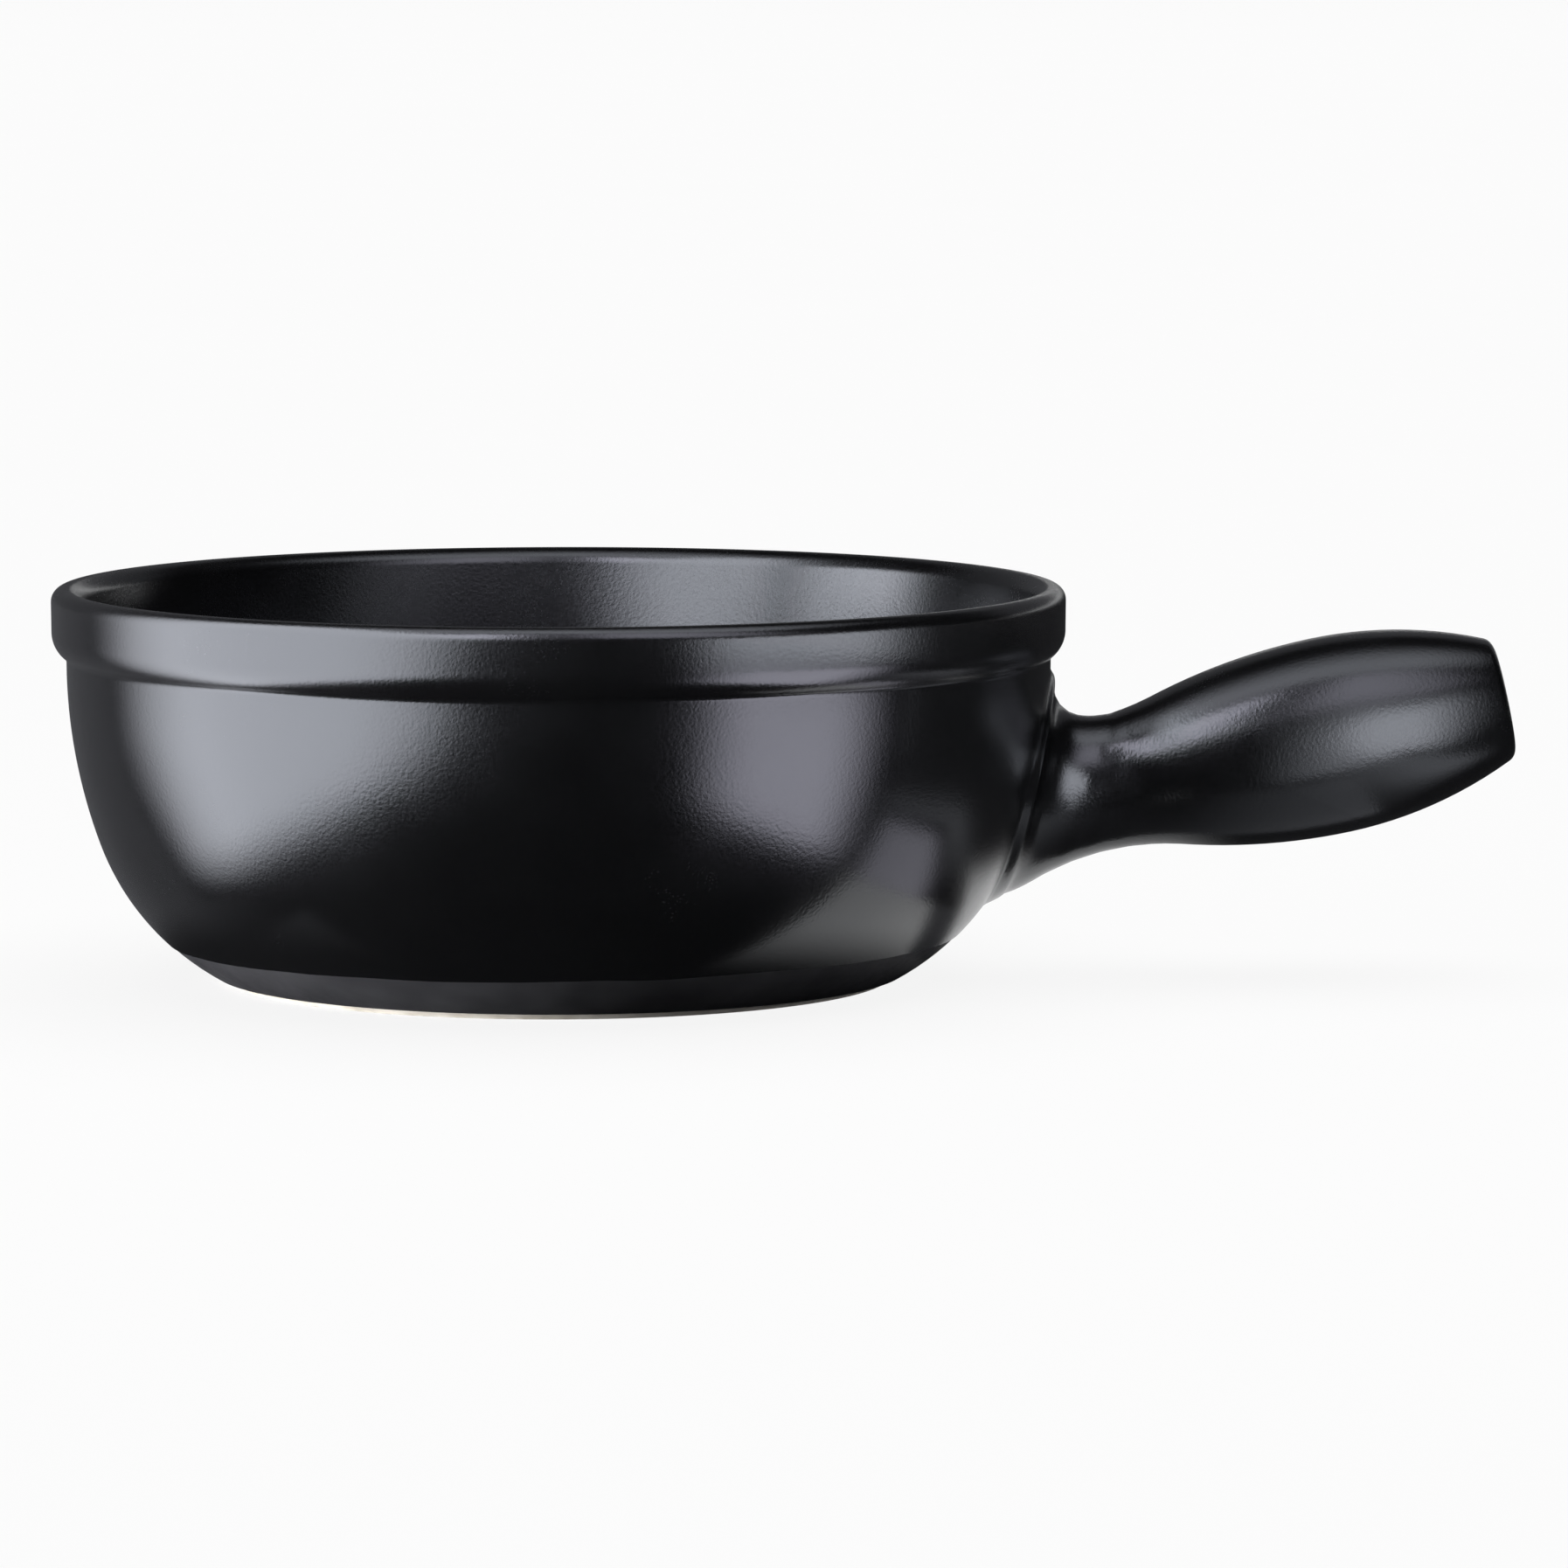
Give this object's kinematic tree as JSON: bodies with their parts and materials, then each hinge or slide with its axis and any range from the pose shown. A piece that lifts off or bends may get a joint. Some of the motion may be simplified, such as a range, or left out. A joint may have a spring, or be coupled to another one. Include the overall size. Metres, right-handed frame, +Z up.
{
  "type": "fondue pot",
  "caption": "Round glazed stoneware fondue pot with a proud rim band, a matt heel, a bare foot ring and a hollow barrel handle rising from its side.",
  "frame": {"origin": "centre of the foot ring, on the plane it stands on", "axes": "+Z up along the bowl's axis, +X towards the handle"},
  "size_m": [0.3326, 0.23, 0.0895],
  "materials": {
    "stoneware": "bare fired clay, matt",
    "joining_slip": "fired slip, matt",
    "black_glaze": "satin black glaze",
    "inner_black_glaze": "satin black glaze, a little grainier",
    "matt_coat": "matt dark grey coat"
  },
  "bodies": {
    "root": {"bowl": "stoneware", "handle": "stoneware", "handle_lute": "joining_slip", "outer_glaze": "black_glaze", "inner_glaze": "inner_black_glaze", "handle_glaze": "black_glaze", "base_coat": "matt_coat", "recess_glaze": "inner_black_glaze"}
  },
  "joints": []
}
